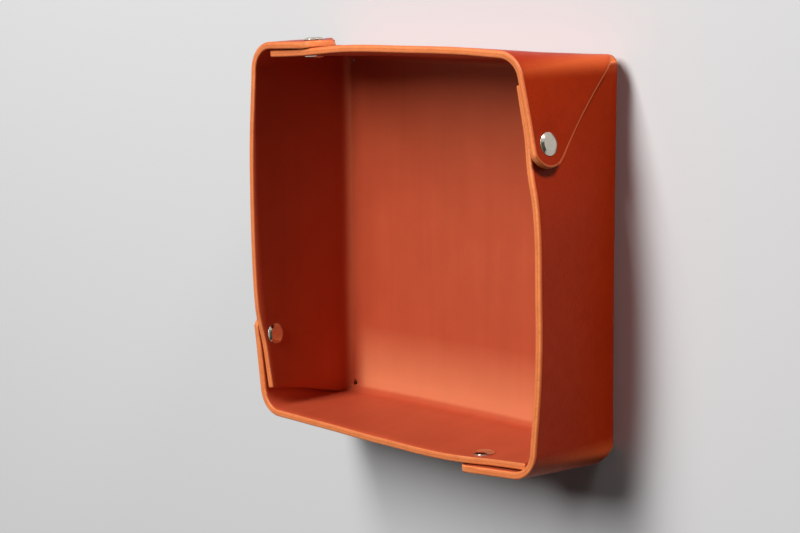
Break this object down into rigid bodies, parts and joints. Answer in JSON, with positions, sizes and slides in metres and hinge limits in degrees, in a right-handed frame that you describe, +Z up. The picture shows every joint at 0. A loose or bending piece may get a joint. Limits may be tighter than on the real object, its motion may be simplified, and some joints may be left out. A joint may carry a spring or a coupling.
{
  "type": "valet tray",
  "caption": "Square open leather valet tray, folded from one thick sheet, with each corner lapped over and held by a double-cap rivet.",
  "frame": {"origin": "middle of the underside of the tray's floor", "axes": "+Z up, out of the open top; +X towards the right wall; +Y towards the back wall"},
  "size_m": [0.1711, 0.1703, 0.0535],
  "materials": {
    "leather": "vegetable-tanned, smooth reddish brown outside, matte inside, raw orange cut edges",
    "cap": "polished nickel plate",
    "rivet_core": "plain plated steel, hidden between the caps"
  },
  "bodies": {
    "root": {"leather_body": "leather", "back_right_outer_cap": "cap", "back_right_post": "rivet_core", "back_right_socket": "rivet_core", "back_right_inner_cap": "cap", "front_right_outer_cap": "cap", "front_right_post": "rivet_core", "front_right_socket": "rivet_core", "front_right_inner_cap": "cap", "front_left_outer_cap": "cap", "front_left_post": "rivet_core", "front_left_socket": "rivet_core", "front_left_inner_cap": "cap", "back_left_outer_cap": "cap", "back_left_post": "rivet_core", "back_left_socket": "rivet_core", "back_left_inner_cap": "cap"}
  },
  "joints": []
}
